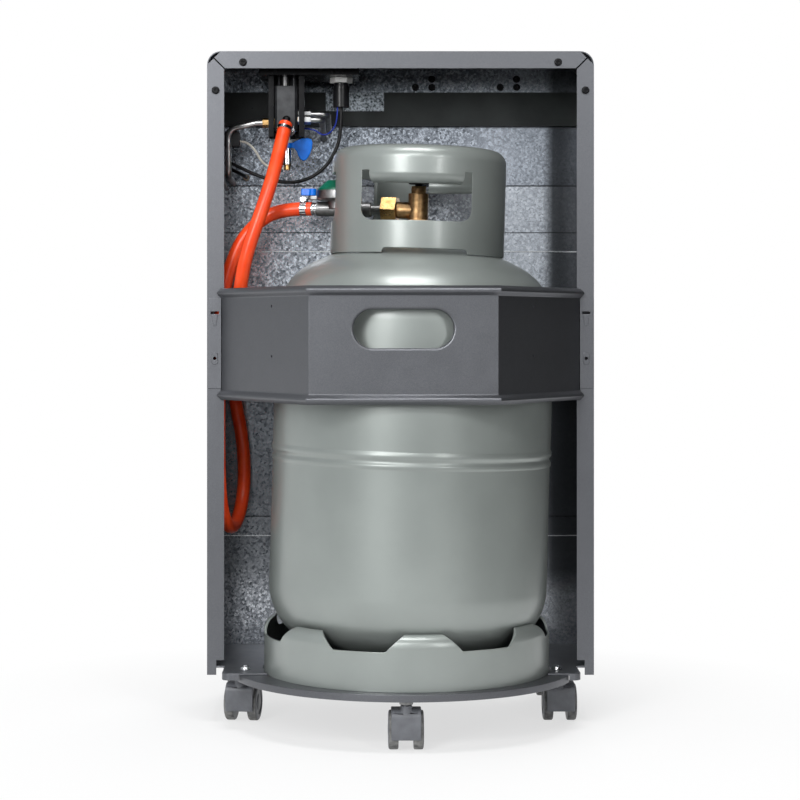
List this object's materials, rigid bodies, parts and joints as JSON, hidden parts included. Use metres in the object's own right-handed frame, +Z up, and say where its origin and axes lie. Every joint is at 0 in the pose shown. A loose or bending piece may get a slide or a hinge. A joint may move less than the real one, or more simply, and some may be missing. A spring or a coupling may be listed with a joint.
{
  "type": "portable gas cabinet heater",
  "caption": "Portable gas cabinet heater on twin-wheel castors with an open back, gas bottle, retaining band, orange hose, ceramic burners and top controls",
  "frame": {"origin": "on the floor, under the middle of the heater's outline", "axes": "X to the right seen from behind, Y from the open back towards the radiant front, Z up"},
  "size_m": [0.42, 0.3964, 0.73],
  "materials": {
    "cabinet_paint": "satin metallic grey paint",
    "galvanised": "spangled zinc",
    "black_paint": "satin black paint",
    "bottle_paint": "satin grey-green paint",
    "brass": "machined",
    "chrome": "bright plated",
    "cast_alloy": "cast",
    "pipe_alloy": "drawn tube",
    "hose_rubber": "smooth orange",
    "blue_plastic": "moulded",
    "green_plastic": "moulded",
    "black_plastic": "moulded",
    "castor_plastic": "moulded",
    "cable_rubber": "smooth black",
    "lead_sleeve": "sleeved",
    "wire_sleeve": "sleeved",
    "reflector_steel": "polished sheet",
    "burner_ceramic": "unglazed"
  },
  "bodies": {
    "cabinet": {"cabinet_shell": "cabinet_paint", "black_screws": "black_paint", "inner_wall": "galvanised", "upper_wall": "galvanised", "air_baffle": "black_paint", "top_rail": "galvanised", "cylinder_shelf": "cabinet_paint", "base_plate": "cabinet_paint", "shelf_screws": "chrome", "castor_sockets": "galvanised", "cylinder_body": "bottle_paint", "cylinder_foot": "bottle_paint", "cylinder_collar": "bottle_paint", "cylinder_valve": "brass", "regulator_nut": "brass", "regulator_body": "cast_alloy", "regulator_cap": "green_plastic", "hose_tail": "chrome", "gas_hose": "hose_rubber", "hose_clamps": "chrome", "hose_elbow": "black_paint", "control_tray": "black_paint", "valve_bracket": "black_paint", "gas_valve": "galvanised", "igniter_body": "black_plastic", "igniter_nut": "chrome", "inlet_tap": "chrome", "gas_pipes": "pipe_alloy", "pilot_pipe": "pipe_alloy", "pipe_nuts": "brass", "wall_block": "black_plastic", "igniter_cable": "cable_rubber", "thermocouple_lead": "lead_sleeve", "earth_wire": "wire_sleeve", "front_panel": "cabinet_paint", "front_surround": "cabinet_paint", "reflector": "reflector_steel", "burner_plenums": "galvanised", "ceramic_plaques": "burner_ceramic", "wire_guard": "chrome", "pilot_burner": "galvanised", "spark_electrode": "burner_ceramic"},
    "retainer": {"retainer_band": "cabinet_paint"},
    "bottle_handwheel": {"handwheel": "black_plastic"},
    "regulator_switch": {"regulator_lever": "blue_plastic"},
    "spindle": {"valve_spindle": "brass"},
    "knob": {"control_knob": "black_plastic"},
    "ignition_button": {"igniter_button": "black_plastic"},
    "tap_paddle": {"tap_lever": "blue_plastic"},
    "castor_swivel_1": {"castor_hood_1": "castor_plastic"},
    "castor_pair_1": {"castor_wheels_1": "castor_plastic"},
    "castor_swivel_2": {"castor_hood_2": "castor_plastic"},
    "castor_pair_2": {"castor_wheels_2": "castor_plastic"},
    "castor_swivel_3": {"castor_hood_3": "castor_plastic"},
    "castor_pair_3": {"castor_wheels_3": "castor_plastic"},
    "castor_swivel_4": {"castor_hood_4": "castor_plastic"},
    "castor_pair_4": {"castor_wheels_4": "castor_plastic"},
    "castor_swivel_5": {"castor_hood_5": "castor_plastic"},
    "castor_pair_5": {"castor_wheels_5": "castor_plastic"}
  },
  "joints": [
    {"name": "retainer_lift", "type": "slide", "parent": "cabinet", "child": "retainer", "axis": [0, 0, 1], "range_m": [0, 0.009]},
    {"name": "handwheel_turn", "type": "hinge", "parent": "cabinet", "child": "bottle_handwheel", "pos_m": [0.01971, -0.03065, 0.58282], "axis": [0.0279, 0, 0.9996], "range_deg": [0, 720]},
    {"name": "regulator_switch_turn", "type": "hinge", "parent": "cabinet", "child": "regulator_switch", "pos_m": [-0.0958, -0.00299, 0.57454], "axis": [0.0279, 0, 0.9996], "range_deg": [0, 90]},
    {"name": "spindle_press", "type": "slide", "parent": "cabinet", "child": "spindle", "axis": [0, 0, -1], "range_m": [0, 0.003], "stiffness_N_per_m": 900},
    {"name": "knob_turn", "type": "hinge", "parent": "spindle", "child": "knob", "pos_m": [-0.127, 0.02635, 0.7122], "axis": [0, 0, 1], "range_deg": [0, 240]},
    {"name": "ignition_press", "type": "slide", "parent": "cabinet", "child": "ignition_button", "axis": [0, 0, -1], "range_m": [0, 0.006], "stiffness_N_per_m": 700},
    {"name": "tap_turn", "type": "hinge", "parent": "cabinet", "child": "tap_paddle", "pos_m": [-0.1248, 0.02735, 0.629], "axis": [0, 0, 1], "range_deg": [0, 90]},
    {"name": "castor_swivel_1_turn", "type": "hinge", "parent": "cabinet", "child": "castor_swivel_1", "pos_m": [-0.1745, -0.01765, 0.0476], "axis": [0, 0, 1], "continuous": true},
    {"name": "castor_pair_1_spin", "type": "hinge", "parent": "castor_swivel_1", "child": "castor_pair_1", "pos_m": [-0.172, -0.00185, 0.02], "axis": [0.9877, -0.1564, 0], "continuous": true},
    {"name": "castor_swivel_2_turn", "type": "hinge", "parent": "cabinet", "child": "castor_swivel_2", "pos_m": [0.003, -0.18065, 0.0476], "axis": [0, 0, 1], "continuous": true},
    {"name": "castor_pair_2_spin", "type": "hinge", "parent": "castor_swivel_2", "child": "castor_pair_2", "pos_m": [0.003, -0.16465, 0.02], "axis": [1, 0, 0], "continuous": true},
    {"name": "castor_swivel_3_turn", "type": "hinge", "parent": "cabinet", "child": "castor_swivel_3", "pos_m": [0.1745, -0.01765, 0.0476], "axis": [0, 0, 1], "continuous": true},
    {"name": "castor_pair_3_spin", "type": "hinge", "parent": "castor_swivel_3", "child": "castor_pair_3", "pos_m": [0.1745, -0.00165, 0.02], "axis": [1, 0, 0], "continuous": true},
    {"name": "castor_swivel_4_turn", "type": "hinge", "parent": "cabinet", "child": "castor_swivel_4", "pos_m": [-0.18, 0.13935, 0.0476], "axis": [0, 0, 1], "continuous": true},
    {"name": "castor_pair_4_spin", "type": "hinge", "parent": "castor_swivel_4", "child": "castor_pair_4", "pos_m": [-0.18, 0.15535, 0.02], "axis": [1, 0, 0], "continuous": true},
    {"name": "castor_swivel_5_turn", "type": "hinge", "parent": "cabinet", "child": "castor_swivel_5", "pos_m": [0.18, 0.13935, 0.0476], "axis": [0, 0, 1], "continuous": true},
    {"name": "castor_pair_5_spin", "type": "hinge", "parent": "castor_swivel_5", "child": "castor_pair_5", "pos_m": [0.18, 0.15535, 0.02], "axis": [1, 0, 0], "continuous": true}
  ]
}
